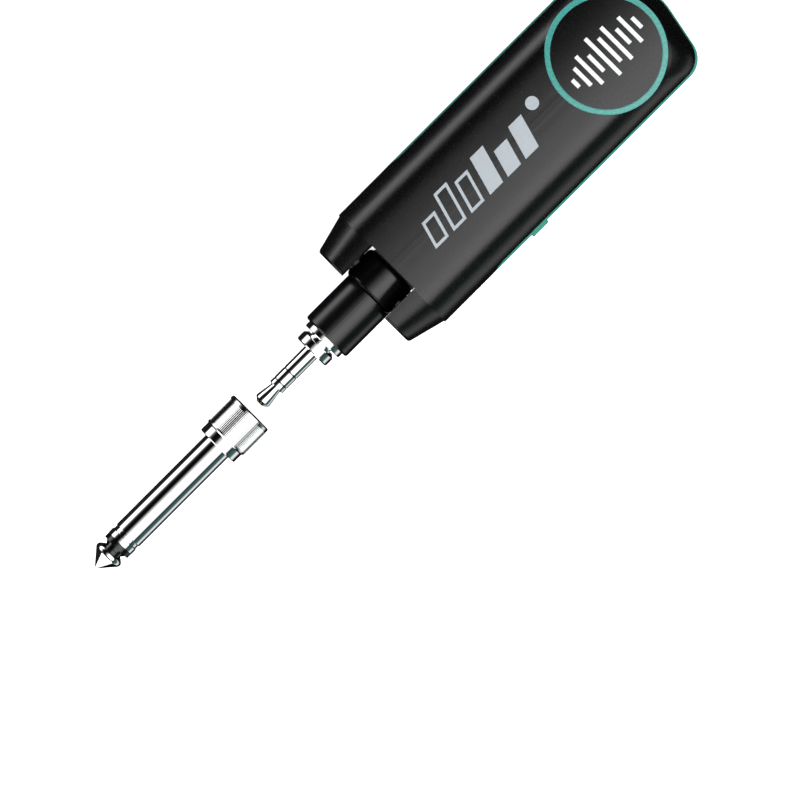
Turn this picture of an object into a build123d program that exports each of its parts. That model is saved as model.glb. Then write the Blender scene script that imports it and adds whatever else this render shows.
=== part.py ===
"""Wireless guitar transmitter with a folding 3.5 mm plug and a 6.35 mm jack adapter.

Millimetres. The transmitter lies on its back: +Z is out of its front face, +X runs from the
plug to the tail, and the button is on the -Y side. X = 0 is the hinge axis of the plug arm.
"""
from build123d import *
import os
from math import asin, atan, atan2, cos, hypot, pi, radians, sin

os.makedirs("parts", exist_ok=True)

# ---------------------------------------------------------------- driving dimensions
half_length = 80.0        # hinge axis to the tail, and to the adapter's point
thick = 20.5              # housing, rear face to front face
mid_z = thick / 2         # split plane of the shells, and height of the arm's axis
half_width = 15.05
# Section of the housing, from the side up to the face: arcs of a radius, each ending where the
# surface has turned to an angle from level. The front face is crowned, the rear face is flat.
side_arc = (10.5, 42)
front_arcs = (side_arc, (6.2, 14), (12.0, 6))
rear_arcs = (side_arc, (6.2, 1.5))
section_spacing = 1.5
corner_r = 5.0            # tail corners in plan
tail_slope = 0.2          # the tail is a shallow vee
tail_apex_r = 15.0
wall = 1.5
seam_x = 4.0              # the shells start here, behind the hinge yoke

nose_x = -4.0             # prong tips
nose_half = 12.7
nose_drop = 2.6           # the faces slope down by this much from the seam to the tips
nose_scale = 0.74         # size of the section's arcs at the tips
root_step = 0.28          # the yoke is this much narrower than the shells at the seam
root_drop = 0.12
slot_half = 6.1           # fork slot and fold recess
recess_end_x = 13.6
spigot_end_x = 14.4
spigot_half = 7.05
spigot_wall = 1.2         # the shells are thinner over the fold recess
front_edge_x = 4.3        # front shell's edge at the fork slot

band_depth = 0.9
band_height = 3.0
band_start_x = 17.7
ledge = 0.5               # the shells stand back from the band by this
ledge_taper = 3.3
ledge_height = 3.3        # half the height over which they do

badge_x = 64.1
badge_r = 12.3
ring_width = 1.15
badge_thick = 3.2
badge_crown_r = 47.0
ring_proud = 0.25
pad_r = 13.0

button_x = 30.65
button_length = 4.3
button_height = 2.2
button_proud = 0.55
button_travel = 0.3

usb_x = 16.35
board_z = 7.6             # underside of the circuit board
board_thick = 1.0
screw_y = 8.0

arm_y = -0.4              # the plug's axis lies a little towards the button
barrel_r = 5.6
knuckle_r = 5.9           # the knuckle is centred in the fork slot
knuckle_round = 1.1
barrel_front_x = -15.0
barrel_end_x = -4.2
cover_start_x = -3.1
knuckle_end_x = 4.1
tail_reach = 8.85         # the arm's tail turns inside this radius
pin_r = 1.25
running_gap = 0.03

base_r, base_length = 4.6, 1.2
neck_r, neck_length = 2.6, 0.3
lock_r, lock_length = 4.0, 2.7
plug_r = 1.75             # 3.5 mm plug
plug_front_x = -33.75

mouth_x = -36.15
collar_r = 5.0
collar_length = 7.5
flange_r, flange_length = 4.65, 2.05
jack_r = 3.175            # 6.35 mm plug
band_end_x = -74.25

overlap = 1.0             # how far cutters run past what they cut
clear = 20.0              # half width of a block that reaches right across the housing


# ---------------------------------------------------------------- helpers
def export(piece, name):
    """Label a finished piece and write it to its own file."""
    piece.part.label = name
    export_step(piece.part, f"parts/{name}.step")


def outline(level, inset, corner, start_x=seam_x):
    """Plan outline of the housing behind the nose, set in by a distance, at one height."""
    half = half_width - inset
    apex_r = tail_apex_r * half / half_width
    tail = half_length - inset + apex_r * (1 / cos(atan(tail_slope)) - 1)
    corner_x = tail - tail_slope * half
    corner = min(corner, 0.9 * half)
    with BuildSketch(Plane.XY.offset(level)) as plan:
        with BuildLine():
            FilletPolyline(
                (start_x, -half), (corner_x, -half), (tail, 0), (corner_x, half), (start_x, half),
                radius=[corner, apex_r, corner],
            )
            Line((start_x, half), (start_x, -half))
        make_face()
    return plan.sketch


def edge_points(arcs, half, scale=1.0, steps=0):
    """Section from the side to the middle of a face: (turn, distance in, height) of its points.

    Each arc has a fixed number of steps, or with 0 steps a number that spaces them evenly.
    """
    turn, depth, height = pi / 2, 0.0, 0.0
    points = [(turn, depth, height)]
    pieces = [(radius * scale, radians(end)) for radius, end in arcs]
    last_turn = pieces[-1][1]
    if arcs is front_arcs:
        reach = sum(r * (sin(t0) - sin(t1)) for (r, t1), t0 in zip(
            pieces, [pi / 2] + [end for _, end in pieces]))
        pieces.append(((half - reach) / sin(last_turn), radians(0.5)))
    for radius, end in pieces:
        count = steps or max(1, round(radius * (turn - end) / section_spacing))
        for step in range(1, count + 1):
            here = turn + (end - turn) * step / count
            points.append((here, depth + radius * (sin(turn) - sin(here)),
                           height + radius * (cos(here) - cos(turn))))
        turn, depth, height = points[-1]
    return points


def front_half(inset, start_x=seam_x, arcs=front_arcs):
    """Front half of the housing's form: a straight wall, the rounded edge and the face."""
    points = edge_points(arcs, half_width)
    wall_top = thick - points[-1][2]
    _, depth, height = points[1]
    points.insert(0, (pi - points[1][0], depth, -height))
    sections = [
        outline(wall_top + height - inset * cos(turn), depth + inset * sin(turn),
                corner_r - inset / 2 + 0.6 * depth, start_x)
        for turn, depth, height in points
    ]
    with BuildPart() as form:
        loft(sections)
        add(slab(0, half_length + overlap, -clear, clear, 0, mid_z), mode=Mode.SUBTRACT)
    return form.part


def flip(shape):
    """The same shape on the rear half of the housing."""
    return mirror(shape, about=Plane.XY.offset(mid_z), mode=Mode.PRIVATE)


def slab(x0, x1, y0, y1, z0, z1):
    """A plain block between two corners, used to cut and to fill."""
    with BuildPart(Plane.XY.offset(z0)) as block:
        with Locations(((x0 + x1) / 2, (y0 + y1) / 2)):
            Box(x1 - x0, y1 - y0, z1 - z0, align=(Align.CENTER, Align.CENTER, Align.MIN))
    return block.part


def post(x, y, radius, z0, z1):
    """An upright cylinder."""
    with BuildPart(Plane.XY.offset(z0)) as column:
        with Locations((x, y)):
            Cylinder(radius, z1 - z0, align=(Align.CENTER, Align.CENTER, Align.MIN))
    return column.part


def cross_bar(radius, y0, y1):
    """A cylinder along the hinge axis."""
    with BuildPart() as bar:
        with BuildSketch(Plane(origin=(0, y0, mid_z), z_dir=(0, 1, 0))):
            Circle(radius)
        extrude(amount=y1 - y0)
    return bar.part


def turned(points, axis_y=arm_y):
    """Turn a profile of (x, radius) points about a lengthwise axis, by default the plug's."""
    axis_plane = Plane(origin=(0, axis_y, mid_z), x_dir=(1, 0, 0), z_dir=(0, -1, 0))
    with BuildPart() as piece:
        with BuildSketch(axis_plane):
            with BuildLine():
                Polyline(*points, close=True)
            make_face()
        revolve(axis=Axis((0, axis_y, mid_z), (1, 0, 0)))
    return piece


# ---------------------------------------------------------------- forms shared by several pieces
outer_front = front_half(0)
outer_rear = front_half(0, arcs=rear_arcs)
inner_form = front_half(wall, seam_x - overlap, rear_arcs)
band_low = mid_z - band_height / 2
board_top = board_z + board_thick
badge_floor = thick - badge_thick
badge_pad = 1.25
disc_top = thick + 0.05

# Edge band: a U round the tail, from which the shells stand back.
with BuildPart() as side_band:
    extrude(outline(band_low, 0, corner_r), amount=band_height)
    extrude(outline(band_low, band_depth, corner_r - band_depth / 2),
            amount=band_height, mode=Mode.SUBTRACT)
    add(slab(0, band_start_x, -clear, clear, 0, thick), mode=Mode.SUBTRACT)
band_form = side_band.part

with BuildPart() as band_cut:
    extrude(outline(band_low, -overlap, corner_r + overlap), amount=band_height)
    extrude(outline(band_low, band_depth, corner_r - band_depth / 2),
            amount=band_height, mode=Mode.SUBTRACT)
    add(slab(0, band_start_x, -clear, clear, 0, thick), mode=Mode.SUBTRACT)

with BuildPart() as ledge_form:
    extrude(outline(mid_z - ledge_height, -overlap, corner_r + overlap), amount=2 * ledge_height)
    extrude(outline(mid_z - ledge_height, ledge, corner_r - ledge / 2),
            amount=2 * ledge_height, mode=Mode.SUBTRACT)
    add(slab(0, band_start_x, -clear, clear, 0, thick), mode=Mode.SUBTRACT)
    with BuildSketch(Plane.XY.offset(mid_z - ledge_height)):
        for side in (-1, 1):
            with BuildLine():
                Polyline(
                    (band_start_x - overlap, side * (half_width - 2)),
                    (band_start_x - overlap, side * half_width),
                    (band_start_x, side * half_width),
                    (band_start_x + ledge_taper, side * (half_width - ledge)),
                    (band_start_x + ledge_taper, side * (half_width - 2)),
                    close=True,
                )
            make_face()
    extrude(amount=2 * ledge_height, mode=Mode.SUBTRACT)

button_gap = 0.15
button_hole_end = -10.0
button_hole = slab(
    button_x - button_length / 2 - button_gap, button_x + button_length / 2 + button_gap,
    -clear, button_hole_end, mid_z - button_height / 2 - button_gap, mid_z + button_height / 2 + button_gap,
)
with BuildPart() as side_band:
    add(band_form)
    add(button_hole, mode=Mode.SUBTRACT)
export(side_band, "side_band")


# ---------------------------------------------------------------- shells
def half_shell(outer):
    """One hollow half shell, drawn as the front one, without what only one of them has."""
    with BuildPart() as shell:
        add(outer)
        add(inner_form, mode=Mode.SUBTRACT)
        add(outer.intersect(post(badge_x, 0, pad_r, badge_floor - badge_pad, thick - wall / 2)))
        add(post(badge_x, 0, badge_r, badge_floor, thick + overlap), mode=Mode.SUBTRACT)
        add(band_cut.part, mode=Mode.SUBTRACT)
        add(ledge_form.part, mode=Mode.SUBTRACT)
        add(button_hole, mode=Mode.SUBTRACT)
        add(slab(seam_x - overlap, spigot_end_x, -spigot_half, spigot_half,
                 mid_z - overlap, thick - spigot_wall), mode=Mode.SUBTRACT)
    return shell.part


with BuildPart() as front_shell:
    add(half_shell(outer_front))
    for side in (-1, 1):
        add(post(badge_x, side * screw_y, 2.2, board_top, badge_floor - 0.6))
        add(post(badge_x, side * screw_y, 1.0, board_top - overlap, 16), mode=Mode.SUBTRACT)
    add(slab(seam_x - overlap, front_edge_x, -slot_half, slot_half, mid_z, thick + overlap),
        mode=Mode.SUBTRACT)
export(front_shell, "front_shell")

bezel_length, bezel_width = 10.6, 3.7
screw_head_r, screw_head_depth = 1.9, 1.4
rear_floor = thick - badge_floor

with BuildPart() as rear_shell:
    add(flip(half_shell(outer_rear)))
    add(slab(seam_x - overlap, recess_end_x, -slot_half, slot_half, -overlap, wall + overlap),
        mode=Mode.SUBTRACT)
    with BuildSketch():
        with Locations((usb_x, 0)):
            SlotOverall(bezel_length, bezel_width, rotation=90)
    extrude(amount=wall + overlap, mode=Mode.SUBTRACT)
    for side in (-1, 1):
        add(post(badge_x, side * screw_y, 3.0, rear_floor, board_z))
        add(post(badge_x, side * screw_y, screw_head_r, 0, rear_floor + screw_head_depth),
            mode=Mode.SUBTRACT)
        add(post(badge_x, side * screw_y, 1.05, 0, board_z + overlap), mode=Mode.SUBTRACT)
export(rear_shell, "rear_shell")

# ---------------------------------------------------------------- hinge yoke
def yoke_section(x, half, drop, scale):
    """Upright section of the yoke, with the same arcs as the shells."""
    front = edge_points(front_arcs, half, scale, steps=2)
    rear = edge_points(rear_arcs, half, scale, steps=2)
    front_wall = thick - drop - front[-1][2]
    rear_wall = drop + rear[-1][2]
    join = front[6]
    with BuildSketch(Plane.YZ.offset(x)) as section:
        with BuildLine():
            for side in (-1, 1):
                upper = [(side * (half - depth), front_wall + height) for _, depth, height in front]
                lower = [(side * (half - depth), rear_wall - height) for _, depth, height in rear]
                for first in (0, 2, 4):
                    ThreePointArc(*upper[first:first + 3])
                for first in (0, 2):
                    ThreePointArc(*lower[first:first + 3])
                Line(upper[0], lower[0])
            join_y, join_z = half - join[1], front_wall + join[2]
            ThreePointArc((-join_y, join_z), (0, thick - drop), (join_y, join_z))
            Line((rear[-1][1] - half, drop), (half - rear[-1][1], drop))
        make_face()
    return section.sketch


with BuildPart() as yoke_form:
    loft([
        yoke_section(nose_x, nose_half, nose_drop, nose_scale),
        yoke_section(seam_x, half_width - root_step, root_drop, 1.0),
    ])
    fillet(yoke_form.faces().sort_by(Axis.X)[0].edges(), 0.7)

pin_end = 10.0
cap_r = 1.9
with BuildPart() as hinge_yoke:
    add(yoke_form.part)
    add(slab(seam_x - 0.01, spigot_end_x, -spigot_half, spigot_half, wall, thick - spigot_wall))
    add(slab(nose_x - overlap, recess_end_x, -slot_half, slot_half, -overlap, thick + overlap),
        mode=Mode.SUBTRACT)
    add(cross_bar(pin_r, -pin_end, pin_end), mode=Mode.SUBTRACT)
    add(cross_bar(cap_r, -clear, -pin_end), mode=Mode.SUBTRACT)
export(hinge_yoke, "hinge_yoke")

with BuildPart() as pin_cap:
    add(cross_bar(cap_r, -clear, -pin_end))
    add(yoke_form.part, mode=Mode.INTERSECT)
export(pin_cap, "pin_cap")

with BuildPart() as hinge_pin:
    add(cross_bar(pin_r, -pin_end, pin_end))
    chamfer(hinge_pin.edges().filter_by(GeomType.CIRCLE), 0.2)
export(hinge_pin, "hinge_pin")

boss_end = slot_half - 0.2
washer_r = 2.3
with BuildPart() as hinge_washers:
    for side in (-1, 1):
        ends = sorted((side * (boss_end + 0.02), side * (slot_half - 0.03)))
        add(cross_bar(washer_r, *ends))
        add(cross_bar(pin_r + running_gap, *ends), mode=Mode.SUBTRACT)
export(hinge_washers, "hinge_washers")


# ---------------------------------------------------------------- badges
def crowned(radius, top):
    """Badge blank: a post whose top is crowned across the housing."""
    with BuildPart() as blank:
        add(post(badge_x, 0, radius, badge_floor, thick + overlap))
        with BuildSketch(Plane.YZ.offset(badge_x - clear)):
            with Locations((0, top - badge_crown_r)):
                Circle(badge_crown_r)
        extrude(amount=2 * clear, mode=Mode.INTERSECT)
    return blank


def badge_ring():
    """Front badge ring: a tube with both top edges bevelled."""
    ring = crowned(badge_r, thick + ring_proud)
    with ring:
        add(post(badge_x, 0, badge_r - ring_width, badge_floor, thick + 2 * overlap),
            mode=Mode.SUBTRACT)
        chamfer(ring.faces().sort_by(Axis.Z)[-1].edges(), 0.18)
    return ring.part


with BuildPart() as front_ring:
    add(badge_ring())
export(front_ring, "front_ring")

front_disc = crowned(badge_r - ring_width, disc_top)
export(front_disc, "front_disc")

with BuildPart() as rear_ring:
    add(post(badge_x, 0, badge_r, 0, rear_floor))
    add(post(badge_x, 0, badge_r - ring_width, -overlap, rear_floor), mode=Mode.SUBTRACT)
    chamfer(rear_ring.faces().sort_by(Axis.Z)[0].edges(), 0.18)
export(rear_ring, "rear_ring")

with BuildPart() as rear_disc:
    add(post(badge_x, 0, badge_r - ring_width, 0.2, rear_floor))
    chamfer(rear_disc.faces().sort_by(Axis.Z)[0].edges(), 0.15)
export(rear_disc, "rear_disc")

screw_head_z = rear_floor + 0.2
with BuildPart() as housing_screws:
    for side in (-1, 1):
        add(post(badge_x, side * screw_y, 1.0, screw_head_z, 14.5))
        add(post(badge_x, side * screw_y, 1.75, screw_head_z, rear_floor + screw_head_depth))
        with BuildSketch(Plane.XY.offset(screw_head_z)):
            with Locations((badge_x, side * screw_y)):
                Rectangle(1.9, 0.45)
                Rectangle(0.45, 1.9)
        extrude(amount=0.7, mode=Mode.SUBTRACT)
export(housing_screws, "housing_screws")

# ---------------------------------------------------------------- USB-C port on the rear
usb_length, usb_width, usb_wall = 8.94, 3.2, 0.3
with BuildPart() as usb_bezel:
    with BuildSketch():
        with Locations((usb_x, 0)):
            SlotOverall(bezel_length, bezel_width, rotation=90)
            SlotOverall(usb_length, usb_width, rotation=90, mode=Mode.SUBTRACT)
    extrude(amount=wall)
export(usb_bezel, "usb_bezel")

with BuildPart() as usb_shell:
    with BuildSketch(Plane.XY.offset(0.1)):
        with Locations((usb_x, 0)):
            SlotOverall(usb_length, usb_width, rotation=90)
    extrude(amount=board_z - 0.1)
    with BuildSketch(Plane.XY.offset(0.1)):
        with Locations((usb_x, 0)):
            SlotOverall(usb_length - 2 * usb_wall, usb_width - 2 * usb_wall, rotation=90)
    extrude(amount=6.5, mode=Mode.SUBTRACT)
export(usb_shell, "usb_shell")

with BuildPart() as usb_tongue:
    add(slab(usb_x - 0.35, usb_x + 0.35, -3.35, 3.35, 0.9, 6.6))
    chamfer(usb_tongue.faces().sort_by(Axis.Z)[0].edges(), 0.15)
export(usb_tongue, "usb_tongue")

# ---------------------------------------------------------------- electronics
board_start_x, board_end_x, board_half = spigot_end_x + 0.15, 74.0, 11.6
with BuildPart() as circuit_board:
    with BuildSketch(Plane.XY.offset(board_z)):
        with BuildLine():
            FilletPolyline(
                (board_start_x, -board_half), (board_end_x, -board_half),
                (board_end_x, board_half), (board_start_x, board_half), radius=[2.5, 2.5],
            )
            Line((board_start_x, board_half), (board_start_x, -board_half))
        make_face()
        with Locations((badge_x, screw_y), (badge_x, -screw_y)):
            Circle(1.25, mode=Mode.SUBTRACT)
    extrude(amount=board_thick)
export(circuit_board, "circuit_board")

shield_x, shield_half = 48.0, 6.0
with BuildPart() as rf_shield:
    add(slab(shield_x - 7, shield_x + 7, -shield_half, shield_half, board_z - 2.0, board_z))
    fillet(rf_shield.edges().filter_by(Axis.Z), 0.8)
    add(slab(shield_x - 6.8, shield_x + 6.8, -shield_half + 0.2, shield_half - 0.2,
             board_z - 1.8, board_z), mode=Mode.SUBTRACT)
export(rf_shield, "rf_shield")


def chip(x, y, length, width, z0, z1):
    """A moulded chip package with a bevelled body."""
    with BuildPart() as package:
        add(slab(x - length / 2, x + length / 2, y - width / 2, y + width / 2, z0, z1))
        chamfer(package.edges().filter_by(Axis.Z), 0.12)
    return package


export(chip(shield_x, 0, 6, 6, board_z - 0.9, board_z), "radio_chip")
export(chip(35, 2, 5, 5, board_z - 0.9, board_z), "audio_chip")
export(chip(24, 5, 3.5, 3, board_z - 0.9, board_z), "charge_chip")
export(chip(35, -5.5, 3.2, 2.5, board_z - 0.8, board_z), "crystal")
export(chip(badge_x, 0, 1.6, 0.8, board_top, board_top + 0.5), "status_light")

with BuildPart() as antenna:
    add(slab(68, 73.5, -9, 9, board_z - 0.3, board_z))
    for step in range(4):
        notch_y = -7 + 4 * step
        notch_x = 68 if step % 2 else 69.2
        add(slab(notch_x, notch_x + 4.3, notch_y, notch_y + 2, board_z - overlap, board_z + 0.1),
            mode=Mode.SUBTRACT)
export(antenna, "antenna")

cell_start_x, cell_end_x, cell_half = 20.0, 57.0, 9.6
pad_top = board_top + 0.8
with BuildPart() as battery_pad:
    add(slab(cell_start_x + 1, cell_end_x - 1, -cell_half + 1, cell_half - 1, board_top, pad_top))
export(battery_pad, "battery_pad")

with BuildPart() as battery_cell:
    add(slab(cell_start_x, cell_end_x, -cell_half, cell_half, pad_top, badge_floor - badge_pad - 0.2))
    fillet(battery_cell.edges().filter_by(Axis.X), 1.6)
export(battery_cell, "battery_cell")

# ---------------------------------------------------------------- power button and its switch
button_outer = -(half_width + button_proud)
flange_outer = -(half_width - wall - 0.1)
flange_inner = flange_outer + 0.45
plunger_r = 0.6
plunger_tip = -10.75
switch_face = -11.6
button_plane = Plane(origin=(button_x, button_outer, mid_z), x_dir=(1, 0, 0), z_dir=(0, 1, 0))

with BuildPart() as power_button:
    with BuildSketch(button_plane):
        RectangleRounded(button_length, button_height, 0.6)
    extrude(amount=flange_inner - button_outer)
    chamfer(power_button.faces().sort_by(Axis.Y)[0].edges(), 0.2)
    add(slab(button_x - 2.8, button_x + 2.8, flange_outer, flange_inner, mid_z - 1.3, mid_z + 1.7))
export(power_button, "power_button")

with BuildPart() as switch_plunger:
    with BuildSketch(button_plane.offset(flange_inner - button_outer)):
        Circle(plunger_r)
    extrude(amount=plunger_tip - flange_inner)
export(switch_plunger, "switch_plunger")

with BuildPart() as tact_switch:
    add(slab(button_x - 2, button_x + 2, switch_face, -9.9, board_top, board_top + 2.9))
    chamfer(tact_switch.edges().filter_by(Axis.Y), 0.2)
    with BuildSketch(Plane(origin=(button_x, switch_face - overlap, mid_z),
                           x_dir=(1, 0, 0), z_dir=(0, 1, 0))):
        Circle(plunger_r + 0.06)
    extrude(amount=overlap + plunger_tip - switch_face + button_travel + 0.05,
            mode=Mode.SUBTRACT)
export(tact_switch, "tact_switch")

# ---------------------------------------------------------------- plug arm
ring_end_x = knuckle_end_x + 0.6
ring_step = 0.25
tail_low_z = mid_z - 2.2
tail_high_z = mid_z + 2.6
tail_half = 5.3
boss_r = 2.0
groove_width = 0.24
stem_end_x = -9.0          # the plug's stem reaches this far into the barrel

barrel_turning = turned([
    (barrel_front_x, 0), (barrel_front_x, barrel_r - 0.35), (barrel_front_x + 0.35, barrel_r),
    (knuckle_end_x - 0.7, barrel_r), (knuckle_end_x - 0.7, barrel_r - ring_step),
    (ring_end_x - 0.8, barrel_r - ring_step), (ring_end_x - 0.8, barrel_r - 0.1),
    (ring_end_x - 0.3, barrel_r - 0.1), (ring_end_x - 0.3, barrel_r - ring_step),
    (ring_end_x, barrel_r - ring_step), (ring_end_x, 0),
])
knuckle = turned([
    (cover_start_x, 0),
    *[
        (cover_start_x + knuckle_round * (1 - cos(turn)), knuckle_r - knuckle_round * (1 - sin(turn)))
        for turn in (radians(15 * step) for step in range(7))
    ],
    *[
        (knuckle_end_x - knuckle_round * (1 - cos(turn)), knuckle_r - knuckle_round * (1 - sin(turn)))
        for turn in (radians(90 - 15 * step) for step in range(7))
    ],
    (knuckle_end_x, 0),
], axis_y=0).part

with BuildPart() as arm_barrel:
    add(barrel_turning.part)
    add(slab(cover_start_x + 0.8, 2.9, -boss_end, boss_end, mid_z - 3.2, mid_z).intersect(knuckle))
    with BuildSketch(Plane.XY.offset(tail_low_z)):
        with Locations((ring_end_x, arm_y)):
            Ellipse(tail_reach - ring_end_x, tail_half)
    extrude(amount=tail_high_z - tail_low_z)
    # the front half is cut back for the knuckle cover
    add(slab(cover_start_x, ring_end_x + overlap, -clear, clear, mid_z, thick),
        mode=Mode.SUBTRACT)
    # two fine ring grooves where the barrel ends on its front side
    for groove_x in (barrel_end_x, barrel_end_x + 0.6):
        with BuildSketch(Plane.YZ.offset(groove_x)):
            with Locations((arm_y, mid_z)):
                Circle(barrel_r + overlap)
                Circle(barrel_r - 0.2, mode=Mode.SUBTRACT)
            with Locations((arm_y, mid_z - barrel_r)):
                Rectangle(4 * barrel_r, 2 * barrel_r, mode=Mode.SUBTRACT)
        extrude(amount=groove_width, mode=Mode.SUBTRACT)
    for side in (-1, 1):
        add(cross_bar(washer_r + 0.2, *sorted((side * boss_end, side * clear))), mode=Mode.SUBTRACT)
    add(cross_bar(boss_r, -boss_end, boss_end))
    add(cross_bar(tail_reach, -clear, clear).fuse(slab(-clear, 0, -clear, clear, 0, thick)),
        mode=Mode.INTERSECT)
    add(cross_bar(pin_r + running_gap, -clear, clear), mode=Mode.SUBTRACT)
    # seat of the plug's stem
    add(turned([(barrel_front_x - 1, 0), (barrel_front_x - 1, neck_r), (stem_end_x, neck_r),
                (stem_end_x, 0)]).part,
        mode=Mode.SUBTRACT)
export(arm_barrel, "arm_barrel")

with BuildPart() as arm_cover:
    add(knuckle)
    add(slab(-clear, clear, -clear, clear, 0, mid_z), mode=Mode.SUBTRACT)
    add(cross_bar(boss_r, -clear, clear), mode=Mode.SUBTRACT)
export(arm_cover, "arm_cover")

# ---------------------------------------------------------------- 3.5 mm plug
base_front_x = barrel_front_x - base_length
neck_front_x = base_front_x - neck_length
lock_front_x = neck_front_x - lock_length
core_r = 0.75
insulator_r = 1.15
ring_x, ring_length = -25.2, 2.5
insulator_gap = 0.3
plug_neck_x = -29.1

plug_base = turned([
    (stem_end_x, insulator_r), (stem_end_x, neck_r), (barrel_front_x, neck_r), (barrel_front_x, base_r),
    (base_front_x + 0.15, base_r), (base_front_x, base_r - 0.15), (base_front_x, neck_r),
    (neck_front_x, neck_r), (neck_front_x, insulator_r),
])
export(plug_base, "plug_base")

lock_ring = turned([
    (neck_front_x, plug_r), (neck_front_x, lock_r - 0.75), (neck_front_x - 0.75, lock_r),
    (lock_front_x + 0.3, lock_r), (lock_front_x, lock_r - 0.3), (lock_front_x, plug_r),
])
export(lock_ring, "lock_ring")

plug_sleeve = turned([
    (neck_front_x, insulator_r), (neck_front_x, plug_r), (ring_x + insulator_gap, plug_r),
    (ring_x + insulator_gap, insulator_r),
])
export(plug_sleeve, "plug_sleeve")

plug_ring = turned([
    (ring_x, insulator_r), (ring_x, plug_r), (ring_x - ring_length, plug_r),
    (ring_x - ring_length, insulator_r),
])
export(plug_ring, "plug_ring")

plug_insulator = turned([
    (stem_end_x, core_r), (stem_end_x, insulator_r), (ring_x + insulator_gap, insulator_r),
    (ring_x + insulator_gap, plug_r - 0.08), (ring_x, plug_r - 0.08), (ring_x, insulator_r),
    (ring_x - ring_length, insulator_r), (ring_x - ring_length, plug_r - 0.08),
    (ring_x - ring_length - insulator_gap, plug_r - 0.08),
    (ring_x - ring_length - insulator_gap, core_r),
])
export(plug_insulator, "plug_insulator")

plug_tip = turned([
    (stem_end_x, 0), (stem_end_x, core_r), (ring_x - ring_length - insulator_gap, core_r),
    (ring_x - ring_length - insulator_gap, plug_r), (plug_neck_x + 0.1, plug_r),
    (plug_neck_x - 0.15, 1.2), (-32.7, plug_r), (-32.95, plug_r - 0.05),
    (plug_front_x + 0.15, 0.95), (plug_front_x, 0.75), (plug_front_x, 0),
])
export(plug_tip, "plug_tip")

# ---------------------------------------------------------------- 6.35 mm adapter
collar_end_x = mouth_x - collar_length
flange_end_x = collar_end_x - flange_length
recess_r, recess_depth = 4.2, 3.3
spigot_r = 3.4
bore_r = plug_r + 0.05
bore_end_x = mouth_x - 18.3
knurl_teeth = 84
knurl_depth = 0.14
knurl_start_x, knurl_end_x = mouth_x - 0.9, collar_end_x + 0.7

with BuildPart() as adapter_collar:
    add(turned([
        (mouth_x, recess_r), (mouth_x, collar_r - 0.25), (mouth_x - 0.25, collar_r - 0.05),
        (collar_end_x + 0.35, collar_r - 0.05), (collar_end_x, collar_r - 0.4),
        (collar_end_x, spigot_r), (mouth_x - recess_depth, spigot_r),
        (mouth_x - recess_depth, recess_r),
    ]).part)
    with BuildSketch(Plane.YZ.offset(knurl_end_x)):
        with BuildLine():
            Polyline(
                *[
                    (arm_y + radius * cos(angle), mid_z + radius * sin(angle))
                    for radius, angle in (
                        (collar_r - knurl_depth * (step % 2), radians(180 * step / knurl_teeth))
                        for step in range(2 * knurl_teeth)
                    )
                ],
                close=True,
            )
        make_face()
        with Locations((arm_y, mid_z)):
            Circle(spigot_r + 0.9, mode=Mode.SUBTRACT)
    extrude(amount=knurl_start_x - knurl_end_x)
export(adapter_collar, "adapter_collar")

tube_r = 2.3
groove_x, groove_length, groove_depth = -70.8, 1.1, 0.2
sleeve_end_x = band_end_x + 1.2
adapter_sleeve = turned([
    (mouth_x - recess_depth, bore_r), (mouth_x - recess_depth, spigot_r), (collar_end_x, spigot_r),
    (collar_end_x, flange_r), (flange_end_x + 0.15, flange_r), (flange_end_x, flange_r - 0.15),
    (flange_end_x, jack_r), (groove_x, jack_r), (groove_x - 0.2, jack_r - groove_depth),
    (groove_x - groove_length + 0.2, jack_r - groove_depth), (groove_x - groove_length, jack_r),
    (sleeve_end_x, jack_r), (sleeve_end_x, tube_r), (bore_end_x, tube_r), (bore_end_x, bore_r),
])
export(adapter_sleeve, "adapter_sleeve")

rod_r = 1.3
cup_end_x = bore_end_x - 3.0
adapter_insulator = turned([
    (bore_end_x - 0.3, 1.9), (bore_end_x - 0.3, tube_r), (sleeve_end_x, tube_r),
    (sleeve_end_x, jack_r - 0.05), (band_end_x, jack_r - 0.05), (band_end_x, rod_r),
    (cup_end_x, rod_r), (cup_end_x, 1.9),
])
export(adapter_insulator, "adapter_insulator")

adapter_contact = turned([
    (bore_end_x - 0.3, 1.5), (bore_end_x - 0.3, 1.9), (cup_end_x, 1.9), (cup_end_x, 0),
    (cup_end_x + 0.6, 0), (cup_end_x + 0.6, 1.5),
])
export(adapter_contact, "adapter_contact")

tip_neck_x = band_end_x - 0.75
cone_x, cone_r = tip_neck_x - 1.9, 2.95
nose_round = 0.6
ball_x = nose_round - half_length
cone_angle = (atan2(cone_r, cone_x - ball_x) - asin(nose_round / hypot(cone_r, cone_x - ball_x)))
half_turn = (pi / 2 - cone_angle) / 2

with BuildPart() as adapter_tip:
    with BuildSketch(Plane(origin=(0, arm_y, mid_z), x_dir=(1, 0, 0), z_dir=(0, -1, 0))):
        with BuildLine():
            Polyline((-half_length, 0), (cup_end_x, 0), (cup_end_x, rod_r), (band_end_x, rod_r),
                     (band_end_x, 2.55), (tip_neck_x, 1.95), (tip_neck_x - 0.8, cone_r))
            ThreePointArc((tip_neck_x - 0.8, cone_r), (tip_neck_x - 1.35, jack_r - 0.02),
                          (cone_x, cone_r))
            touch = (ball_x - nose_round * sin(cone_angle), nose_round * cos(cone_angle))
            Line((cone_x, cone_r), touch)
            ThreePointArc(touch, (ball_x - nose_round * cos(half_turn),
                                  nose_round * sin(half_turn)), (-half_length, 0))
        make_face()
    revolve(axis=Axis((0, arm_y, mid_z), (1, 0, 0)))
export(adapter_tip, "adapter_tip")
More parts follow.
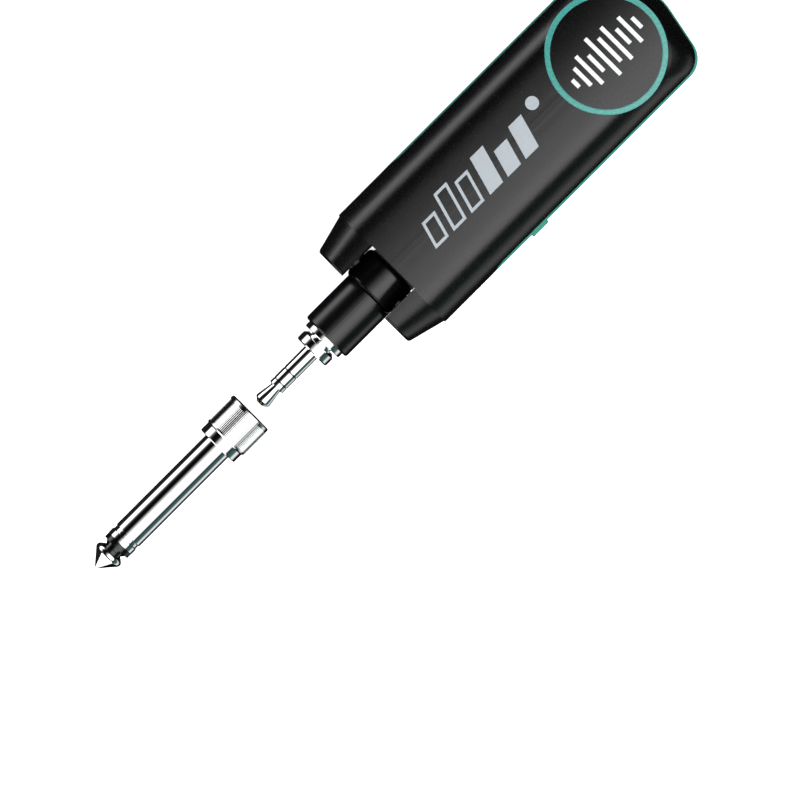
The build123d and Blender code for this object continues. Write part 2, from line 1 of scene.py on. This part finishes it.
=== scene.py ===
"""Looks of a wireless guitar transmitter, its folding plug and its jack adapter.

Metres, in the CAD frame: the transmitter lies on its back, +Z is out of its front face, +X runs
from the plug to the tail, and the button is on the -Y side.
"""
from math import cos, pi, radians, sin

import bmesh
import bpy
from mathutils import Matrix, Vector
from mathutils.bvhtree import BVHTree


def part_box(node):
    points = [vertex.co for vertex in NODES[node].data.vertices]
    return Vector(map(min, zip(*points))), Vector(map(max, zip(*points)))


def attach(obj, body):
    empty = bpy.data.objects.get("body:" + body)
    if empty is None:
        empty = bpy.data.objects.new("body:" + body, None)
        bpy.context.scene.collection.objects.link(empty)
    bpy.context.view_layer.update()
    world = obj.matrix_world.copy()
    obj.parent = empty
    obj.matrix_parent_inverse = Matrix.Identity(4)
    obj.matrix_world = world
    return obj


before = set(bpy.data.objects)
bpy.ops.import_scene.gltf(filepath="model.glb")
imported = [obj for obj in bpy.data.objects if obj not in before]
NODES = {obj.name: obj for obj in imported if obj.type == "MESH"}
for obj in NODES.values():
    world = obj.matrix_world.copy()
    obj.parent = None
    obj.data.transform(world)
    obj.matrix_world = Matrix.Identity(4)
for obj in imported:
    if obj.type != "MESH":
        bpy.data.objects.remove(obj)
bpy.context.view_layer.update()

MM = 0.001


# ---------------------------------------------------------------- camera, light and stage
VIEW_WIDTH = 0.1597         # metres across the view, at half the part's height
VIEW_MIDDLE = (-0.0134, -0.0197)
VIEW_TURN = radians(-45)


def add_camera():
    """Looks straight down on the front face, turned so that the plug points to the lower left."""
    data = bpy.data.cameras.new("camera")
    data.lens = 300
    data.sensor_width = 36
    cam = bpy.data.objects.new("camera", data)
    bpy.context.scene.collection.objects.link(cam)
    middle_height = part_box("front_disc")[1].z / 2
    distance = VIEW_WIDTH * data.lens / data.sensor_width
    cam.location = (*VIEW_MIDDLE, middle_height + distance)
    cam.rotation_euler = (0, 0, VIEW_TURN)
    data.clip_start, data.clip_end = 0.01, 20
    bpy.context.scene.camera = cam


def stage_material(name, colour, glow):
    """Matt pale surface that also glows a little, so that shadows stay soft."""
    mat = bpy.data.materials.new(name)
    mat.use_nodes = True
    shader = mat.node_tree.nodes["Principled BSDF"]
    shader.inputs["Base Color"].default_value = (*colour, 1)
    shader.inputs["Roughness"].default_value = 0.9
    shader.inputs["Specular IOR Level"].default_value = 0.1
    shader.inputs["Emission Color"].default_value = (*colour, 1)
    shader.inputs["Emission Strength"].default_value = glow
    return mat


FLOOR_DROP = 0.2 * MM       # the floor lies this far under the part


def add_backdrop():
    """A round floor that curves up into a pale dome."""
    flat, radius, segments = 1.0, 3.0, 96
    curve = radius - flat
    profile = [(flat * step / 4, 0.0) for step in range(5)]
    profile += [
        (flat + curve * sin(pi * step / 32), curve * (1 - cos(pi * step / 32)))
        for step in range(1, 17)
    ]
    profile += [
        (radius * cos(pi * step / 16), curve + radius * sin(pi * step / 16))
        for step in range(1, 9)
    ]
    mesh = bmesh.new()
    rings = []
    for r, z in profile:
        if r < 1e-6:
            rings.append([mesh.verts.new((0, 0, z))])
        else:
            rings.append([
                mesh.verts.new((r * cos(2 * pi * k / segments), r * sin(2 * pi * k / segments), z))
                for k in range(segments)
            ])
    for inner, outer in zip(rings, rings[1:]):
        for k in range(segments):
            after = (k + 1) % segments
            if len(inner) == 1:
                mesh.faces.new((inner[0], outer[k], outer[after]))
            elif len(outer) == 1:
                mesh.faces.new((inner[k], outer[0], inner[after]))
            else:
                mesh.faces.new((inner[k], outer[k], outer[after], inner[after]))
    data = bpy.data.meshes.new("backdrop")
    mesh.to_mesh(data)
    mesh.free()
    data.polygons.foreach_set("use_smooth", [True] * len(data.polygons))
    backdrop = bpy.data.objects.new("backdrop", data)
    bpy.context.scene.collection.objects.link(backdrop)
    data.materials.append(stage_material("backdrop", (0.93, 0.93, 0.94), 0.85))
    backdrop.location.z = -FLOOR_DROP
    backdrop.visible_glossy = False


# Strength of the light tent round the lengthwise axis, by angle from the zenith towards the
# button side: a narrow strip low on the far side, a wide soft box overhead and a low kicker.
TENT = (
    (-104, 0.0), (-98, 0.2), (-92, 1.3), (-84, 2.8), (-74, 2.8), (-66, 1.3), (-58, 0.2),
    (-50, 0.02), (-38, 0.0), (-21, 0.01), (-15, 0.22), (-10, 0.65), (-3, 1.15), (5, 1.8),
    (13, 2.5), (21, 2.9), (32, 2.9), (42, 2.4), (50, 1.7), (56, 1.0), (61, 0.1), (68, 0.01),
    (73, 0.1), (91, 0.12), (96, 0.25), (102, 0.7), (110, 0.9), (120, 0.7), (127, 0.1), (134, 0.0),
)
TEAL_CARD = (70, 93)       # between these angles a dark teal card hangs below the soft box
TEAL = (0.36, 1.0, 0.92)
TENT_PEAK = 3.0
TENT_RADIUS = 1.2
TENT_HALF_LENGTH = 1.6
TENT_FADE_START = 0.45     # from here towards the ends the glow fades
TENT_HEIGHT = 0.01         # height of its axis
TENT_START, TENT_SPAN = -114, 261


def math_node(tree, operation, first, second=None):
    """A math node's output. Its inputs are sockets or plain numbers."""
    node = tree.nodes.new("ShaderNodeMath")
    node.operation = operation
    for index, value in enumerate((first, second)):
        if isinstance(value, (int, float)):
            node.inputs[index].default_value = value
        elif value is not None:
            tree.links.new(value, node.inputs[index])
    return node.outputs[0]


def object_axes(tree):
    """The X, Y and Z of the point in the object's own frame."""
    place = tree.nodes.new("ShaderNodeTexCoord")
    parts = tree.nodes.new("ShaderNodeSeparateXYZ")
    tree.links.new(place.outputs["Object"], parts.inputs[0])
    return parts.outputs["X"], parts.outputs["Y"], parts.outputs["Z"]


def tent_material():
    """Glow that follows the TENT table round the axis and fades towards the tent's ends."""
    mat = bpy.data.materials.new("tent")
    mat.use_nodes = True
    tree = mat.node_tree
    tree.nodes.clear()
    x, y, z = object_axes(tree)
    angle = math_node(tree, "ARCTAN2", math_node(tree, "MULTIPLY", y, -1), z)
    turn = tree.nodes.new("ShaderNodeMapRange")
    turn.inputs["From Min"].default_value = -pi
    turn.inputs["From Max"].default_value = pi
    tree.links.new(angle, turn.inputs["Value"])
    curve = tree.nodes.new("ShaderNodeValToRGB")
    elements = curve.color_ramp.elements
    elements.remove(elements[1])
    elements[0].position = 0.0
    elements[0].color = (0, 0, 0, 1)
    for degrees_round, strength in TENT:
        tint = TEAL if TEAL_CARD[0] < degrees_round < TEAL_CARD[1] else (1, 1, 1)
        colour = [strength / TENT_PEAK * channel for channel in tint]
        elements.new((degrees_round + 180) / 360).color = (*colour, 1)
    tree.links.new(turn.outputs["Result"], curve.inputs["Fac"])
    fade = tree.nodes.new("ShaderNodeMapRange")
    fade.inputs["From Min"].default_value = TENT_FADE_START
    fade.inputs["From Max"].default_value = TENT_HALF_LENGTH
    fade.inputs["To Min"].default_value = TENT_PEAK
    fade.inputs["To Max"].default_value = 0.0
    tree.links.new(math_node(tree, "ABSOLUTE", x), fade.inputs["Value"])
    glow = tree.nodes.new("ShaderNodeEmission")
    tree.links.new(curve.outputs["Color"], glow.inputs["Color"])
    tree.links.new(fade.outputs["Result"], glow.inputs["Strength"])
    output = tree.nodes.new("ShaderNodeOutputMaterial")
    tree.links.new(glow.outputs[0], output.inputs["Surface"])
    return mat


def add_tent():
    """A tube of light round the lengthwise axis that the camera doesn't see."""
    steps = 120
    vertices, faces = [], []
    for k in range(steps + 1):
        turn = radians(TENT_START + TENT_SPAN * k / steps)
        for end in (-TENT_HALF_LENGTH, TENT_HALF_LENGTH):
            vertices.append((end, -TENT_RADIUS * sin(turn), TENT_RADIUS * cos(turn)))
    for k in range(steps):
        faces.append((2 * k, 2 * k + 1, 2 * k + 3, 2 * k + 2))
    data = bpy.data.meshes.new("light_tent")
    data.from_pydata(vertices, [], faces)
    data.materials.append(tent_material())
    tent = bpy.data.objects.new("light_tent", data)
    tent.location = (0, 0, TENT_HEIGHT)
    bpy.context.scene.collection.objects.link(tent)
    tent.visible_camera = False
    tent.visible_shadow = False


CARD_X = -1.3
CARD_LOW, CARD_HIGH = (-0.82, -0.46), (0.57, 0.19)


def add_end_card():
    """A pale card past the adapter, which the adapter's point mirrors."""
    (y0, z0), (y1, z1) = CARD_LOW, CARD_HIGH
    corners = [(CARD_X, y0, z0), (CARD_X, y1, z0), (CARD_X, y1, z1), (CARD_X, y0, z1)]
    data = bpy.data.meshes.new("end_card")
    data.from_pydata(corners, [], [(0, 1, 2, 3)])
    data.materials.append(stage_material("end_card", (0.95, 0.95, 0.95), 1.2))
    card = bpy.data.objects.new("end_card", data)
    bpy.context.scene.collection.objects.link(card)
    card.visible_camera = False
    card.visible_shadow = False


def add_lights():
    add_tent()
    add_end_card()
    world = bpy.data.worlds.new("world")
    world.use_nodes = True
    background = world.node_tree.nodes["Background"]
    background.inputs["Color"].default_value = (0.9, 0.95, 1.0, 1)
    background.inputs["Strength"].default_value = 0.015
    bpy.context.scene.world = world
    bpy.context.scene.view_settings.view_transform = "Standard"


# ---------------------------------------------------------------- materials
KNURL_LINES = 84
KNURL_DEPTH = 0.0000035
NECK_LENGTH = 0.8 * MM
# Painted dark reflection: the colour given to the metal neck of the adapter's tip.
NECK_PAINTED_REFLECTION = (0.002, 0.002, 0.0021, 1)

# Plastics: name, dark and light colour, smooth and rough end of the sheen, and the nodes.
PLASTICS = (
    ("satin_black", (0.0010, 0.0010, 0.0011), (0.0016, 0.0016, 0.0017), 0.24, 0.28,
     ("front_shell", "rear_shell", "hinge_yoke", "pin_cap")),
    ("badge_black", (0.0010, 0.0010, 0.0011), (0.0015, 0.0015, 0.0016), 0.26, 0.3,
     ("front_disc", "rear_disc")),
    ("arm_black", (0.0010, 0.0010, 0.0011), (0.0015, 0.0015, 0.0016), 0.2, 0.24,
     ("arm_barrel", "arm_cover")),
    ("teal_band", (0.017, 0.26, 0.19), (0.022, 0.30, 0.215), 0.26, 0.32,
     ("side_band", "power_button")),
    ("teal_ring", (0.052, 0.28, 0.245), (0.066, 0.32, 0.28), 0.24, 0.3,
     ("front_ring", "rear_ring")),
    ("dark_plastic", (0.008, 0.008, 0.009), (0.014, 0.014, 0.015), 0.3, 0.4,
     ("hinge_washers", "usb_tongue", "switch_plunger", "radio_chip", "audio_chip", "charge_chip",
      "tact_switch", "battery_pad")),
    ("insulator", (0.0012, 0.0012, 0.0013), (0.002, 0.002, 0.0021), 0.1, 0.14,
     ("plug_insulator", "adapter_insulator")),
    ("solder_mask", (0.01, 0.08, 0.03), (0.015, 0.12, 0.05), 0.25, 0.35, ("circuit_board",)),
    ("lamp", (0.6, 0.65, 0.6), (0.75, 0.8, 0.75), 0.2, 0.3, ("status_light",)),
)
# Metals without the bright plating, in the same form.
METALS = (
    ("steel", (0.55, 0.56, 0.58), (0.66, 0.67, 0.68), 0.2, 0.3,
     ("hinge_pin", "housing_screws", "usb_bezel", "usb_shell", "rf_shield", "crystal")),
    ("brass", (0.65, 0.5, 0.22), (0.75, 0.58, 0.28), 0.15, 0.25, ("adapter_contact", "antenna")),
    ("pouch", (0.5, 0.51, 0.53), (0.62, 0.63, 0.65), 0.3, 0.45, ("battery_cell",)),
)
CHROME = ((0.86, 0.87, 0.88), (0.93, 0.93, 0.94), 0.02, 0.05, 0.000001)


def new_material(name):
    mat = bpy.data.materials.new(name)
    mat.use_nodes = True
    tree = mat.node_tree
    return mat, tree, tree.nodes["Principled BSDF"]


def noise(tree, scale, detail=3.0, stretch=(1, 1, 1)):
    """Object-space noise, stretched along the axes."""
    place = tree.nodes.new("ShaderNodeTexCoord")
    mapping = tree.nodes.new("ShaderNodeMapping")
    mapping.inputs["Scale"].default_value = stretch
    texture = tree.nodes.new("ShaderNodeTexNoise")
    texture.inputs["Scale"].default_value = scale
    texture.inputs["Detail"].default_value = detail
    tree.links.new(place.outputs["Object"], mapping.inputs["Vector"])
    tree.links.new(mapping.outputs["Vector"], texture.inputs["Vector"])
    return texture.outputs["Fac"]


def ramp(tree, factor, low, high, start=0.3, end=0.7):
    """Maps a factor to a range of grey values or colours."""
    node = tree.nodes.new("ShaderNodeMapRange" if isinstance(low, float) else "ShaderNodeMix")
    if isinstance(low, float):
        node.inputs["From Min"].default_value = start
        node.inputs["From Max"].default_value = end
        node.inputs["To Min"].default_value = low
        node.inputs["To Max"].default_value = high
        tree.links.new(factor, node.inputs["Value"])
        return node.outputs["Result"]
    node.data_type = "RGBA"
    node.inputs["A"].default_value = (*low, 1)
    node.inputs["B"].default_value = (*high, 1)
    tree.links.new(factor, node.inputs["Factor"])
    return node.outputs["Result"]


def add_bump(tree, shader, height, distance, strength=1.0):
    bump = tree.nodes.new("ShaderNodeBump")
    bump.inputs["Distance"].default_value = distance
    bump.inputs["Strength"].default_value = strength
    tree.links.new(height, bump.inputs["Height"])
    tree.links.new(bump.outputs["Normal"], shader.inputs["Normal"])


def moulded_plastic(name, dark, light, smooth, rough, grain=2600, depth=0.000004):
    """Moulded plastic: fine spark-eroded grain, and a sheen that varies a little."""
    mat, tree, shader = new_material(name)
    shader.inputs["IOR"].default_value = 1.5
    tree.links.new(ramp(tree, noise(tree, 1500, 2), dark, light), shader.inputs["Base Color"])
    tree.links.new(ramp(tree, noise(tree, 1800, 2), smooth, rough), shader.inputs["Roughness"])
    add_bump(tree, shader, noise(tree, grain, 2), depth)
    return mat


TURNING = (4000, 40, 40)    # noise stretch that gives rings round the lengthwise axis


def bright_metal(name, dark, light, smooth, rough, depth=0.000004):
    """Plated metal with faint turning lines."""
    mat, tree, shader = new_material(name)
    shader.inputs["Metallic"].default_value = 1.0
    tree.links.new(ramp(tree, noise(tree, 60, 2), dark, light), shader.inputs["Base Color"])
    tree.links.new(ramp(tree, noise(tree, 1, 2, TURNING), smooth, rough),
                   shader.inputs["Roughness"])
    add_bump(tree, shader, noise(tree, 1, 2, TURNING), depth)
    return mat


def paint_neck_reflection(mat, start_x):
    """Paints the plated metal black and non-metallic past a point along X, where the tip's neck
    begins: a painted dark reflection, since the neck is metal that mirrors dark surroundings.
    """
    tree = mat.node_tree
    shader = tree.nodes["Principled BSDF"]
    past = math_node(tree, "GREATER_THAN", object_axes(tree)[0], start_x)
    tree.links.new(math_node(tree, "SUBTRACT", 1.0, past), shader.inputs["Metallic"])
    plated = shader.inputs["Base Color"].links[0].from_socket
    mixed = tree.nodes.new("ShaderNodeMix")
    mixed.data_type = "RGBA"
    tree.links.new(past, mixed.inputs["Factor"])
    tree.links.new(plated, mixed.inputs["A"])
    mixed.inputs["B"].default_value = NECK_PAINTED_REFLECTION
    tree.links.new(mixed.outputs["Result"], shader.inputs["Base Color"])


def knurled_metal():
    """Plated metal with fine lines along the plugs' axis, in step with the knurl's teeth."""
    mat, tree, shader = new_material("knurled_chrome")
    shader.inputs["Metallic"].default_value = 1.0
    tree.links.new(ramp(tree, noise(tree, 60, 2), (0.80, 0.81, 0.82), (0.90, 0.90, 0.91)),
                   shader.inputs["Base Color"])
    tree.links.new(ramp(tree, noise(tree, 900, 2), 0.05, 0.09), shader.inputs["Roughness"])
    low_corner, high_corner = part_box("adapter_collar")
    middle = (low_corner + high_corner) / 2
    y, z = object_axes(tree)[1:]
    angle = math_node(tree, "ARCTAN2", math_node(tree, "SUBTRACT", y, middle.y),
                      math_node(tree, "SUBTRACT", z, middle.z))
    wave = math_node(tree, "SINE", math_node(tree, "MULTIPLY", angle, KNURL_LINES))
    add_bump(tree, shader, wave, KNURL_DEPTH)
    return mat


def paint(mat, *names):
    for name in names:
        data = NODES[name].data
        data.materials.clear()
        data.materials.append(mat)


def dress_nodes():
    for make, table in ((moulded_plastic, PLASTICS), (bright_metal, METALS)):
        for name, dark, light, smooth, rough, nodes in table:
            paint(make(name, dark, light, smooth, rough), *nodes)
    paint(bright_metal("chrome", *CHROME),
          "plug_base", "lock_ring", "plug_sleeve", "plug_ring", "plug_tip", "adapter_sleeve")
    tip = bright_metal("tip_chrome", *CHROME)
    # The tip's metal neck is painted black, a painted dark reflection in place of a real one.
    paint_neck_reflection(tip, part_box("adapter_insulator")[0].x - NECK_LENGTH)
    paint(tip, "adapter_tip")
    paint(knurled_metal(), "adapter_collar")


# ---------------------------------------------------------------- printed marks
def printing_surface(nodes, from_top):
    """Finds the height of the outer surface of some CAD nodes at a point in plan."""
    trees = []
    for name in nodes:
        data = NODES[name].data
        polygons = [tuple(face.vertices) for face in data.polygons]
        trees.append(BVHTree.FromPolygons([v.co.copy() for v in data.vertices], polygons))
    down = Vector((0, 0, -1 if from_top else 1))
    start_z = 0.05 if from_top else -0.05

    def height(x, y):
        hits = [tree.ray_cast(Vector((x, y, start_z)), down)[0] for tree in trees]
        levels = [hit.z for hit in hits if hit is not None]
        return max(levels) if from_top else min(levels)
    return height


PRINT_LIFT = 0.03 * MM


class Print:
    """Thin ink laid on a surface, built from small patches so that it follows the surface."""

    def __init__(self, height, from_top=True):
        self.height = height
        self.lift = PRINT_LIFT if from_top else -PRINT_LIFT
        self.from_top = from_top
        self.vertices, self.faces = [], []

    def patch(self, a, b, c, d, cell=0.45):
        """A four-cornered patch, a to b along one edge and d to c along the other, in mm."""
        a, b, c, d = (Vector(corner) for corner in (a, b, c, d))
        across = max(1, round(max((b - a).length, (c - d).length) / cell))
        along = max(1, round(max((d - a).length, (c - b).length) / cell))
        base = len(self.vertices)
        for j in range(along + 1):
            left, right = a.lerp(d, j / along), b.lerp(c, j / along)
            for i in range(across + 1):
                x, y = left.lerp(right, i / across) * MM
                self.vertices.append((x, y, self.height(x, y) + self.lift))
        for j in range(along):
            for i in range(across):
                corner = base + j * (across + 1) + i
                quad = (corner, corner + 1, corner + across + 2, corner + across + 1)
                self.faces.append(quad if self.from_top else quad[::-1])

    def frame(self, corners, stroke):
        """The outline of a four-cornered shape, with its stroke inside the corners."""
        middle = sum((Vector(corner) for corner in corners), Vector((0, 0))) / 4
        outer = [Vector(corner) for corner in corners]
        inner = []
        for k in range(4):
            here, before, after = outer[k], outer[k - 1], outer[(k + 1) % 4]
            u, v = (before - here).normalized(), (after - here).normalized()
            sine = abs(u.x * v.y - u.y * v.x)
            inner.append(here + (u + v) * (stroke / sine))
        for k in range(4):
            after = (k + 1) % 4
            self.patch(outer[k], outer[after], inner[after], inner[k])

    def dot(self, x, y, radius, spokes=20):
        for k in range(spokes):
            t0, t1 = 2 * pi * k / spokes, 2 * pi * (k + 1) / spokes
            self.patch((x, y), (x, y), (x + radius * cos(t1), y + radius * sin(t1)),
                       (x + radius * cos(t0), y + radius * sin(t0)))

    def build(self, name, material):
        data = bpy.data.meshes.new(name)
        data.from_pydata(self.vertices, [], self.faces)
        data.update()
        data.materials.append(material)
        ink = bpy.data.objects.new(name, data)
        bpy.context.scene.collection.objects.link(ink)
        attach(ink, "housing")


def slanted(x, low, high, width, lean=0.28):
    """Corners of a leaning bar whose foot is at x."""
    return [(x + lean * low, low), (x + width + lean * low, low),
            (x + width + lean * high, high), (x + lean * high, high)]


# The level mark on the front face, in mm: outlined bars, filled bars and a dot.
FOOT = -3.6
OUTLINED_X, OUTLINED_BARS = 13.8, (5.6, 8.0, 6.8)
FILLED_X, FILLED_BARS = 29.0, (8.0, 5.6, 7.0)
BAR_WIDTH, BAR_PITCH, BAR_STROKE = 3.6, 5.0, 0.6
DOT = (46.7, 3.4, 1.4)
# The wave on the badges, in mm: half heights of its bars.
WAVE_BARS = (1.0, 2.4, 3.8, 2.2, 5.0, 3.2, 4.4, 2.0, 3.4, 1.4)
WAVE_PITCH, WAVE_HALF_BAR = 1.9, 0.42
BADGES = (("front_wave", "front_disc", True), ("rear_wave", "rear_disc", False))


def add_prints():
    grey = moulded_plastic("grey_ink", (0.36, 0.40, 0.43), (0.42, 0.46, 0.49), 0.5, 0.6)
    white = moulded_plastic("white_ink", (0.74, 0.76, 0.78), (0.84, 0.86, 0.88), 0.45, 0.55)
    mark = Print(printing_surface(["front_shell"], True))
    for k, height in enumerate(OUTLINED_BARS):
        foot_x = OUTLINED_X + BAR_PITCH * k
        mark.frame(slanted(foot_x, FOOT, FOOT + height, BAR_WIDTH), BAR_STROKE)
    for k, height in enumerate(FILLED_BARS):
        mark.patch(*slanted(FILLED_X + BAR_PITCH * k, FOOT, FOOT + height, BAR_WIDTH))
    mark.dot(*DOT)
    mark.build("level_mark", grey)
    badge_x = (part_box("front_disc")[0].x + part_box("front_disc")[1].x) / 2 / MM
    for name, node, from_top in BADGES:
        wave = Print(printing_surface([node], from_top), from_top)
        for k, half in enumerate(WAVE_BARS):
            x = badge_x + WAVE_PITCH * (k - (len(WAVE_BARS) - 1) / 2)
            left, right = x - WAVE_HALF_BAR, x + WAVE_HALF_BAR
            wave.patch((left, -half), (right, -half), (right, half), (left, half))
        wave.build(name, white)


add_camera()
add_backdrop()
add_lights()
dress_nodes()
add_prints()
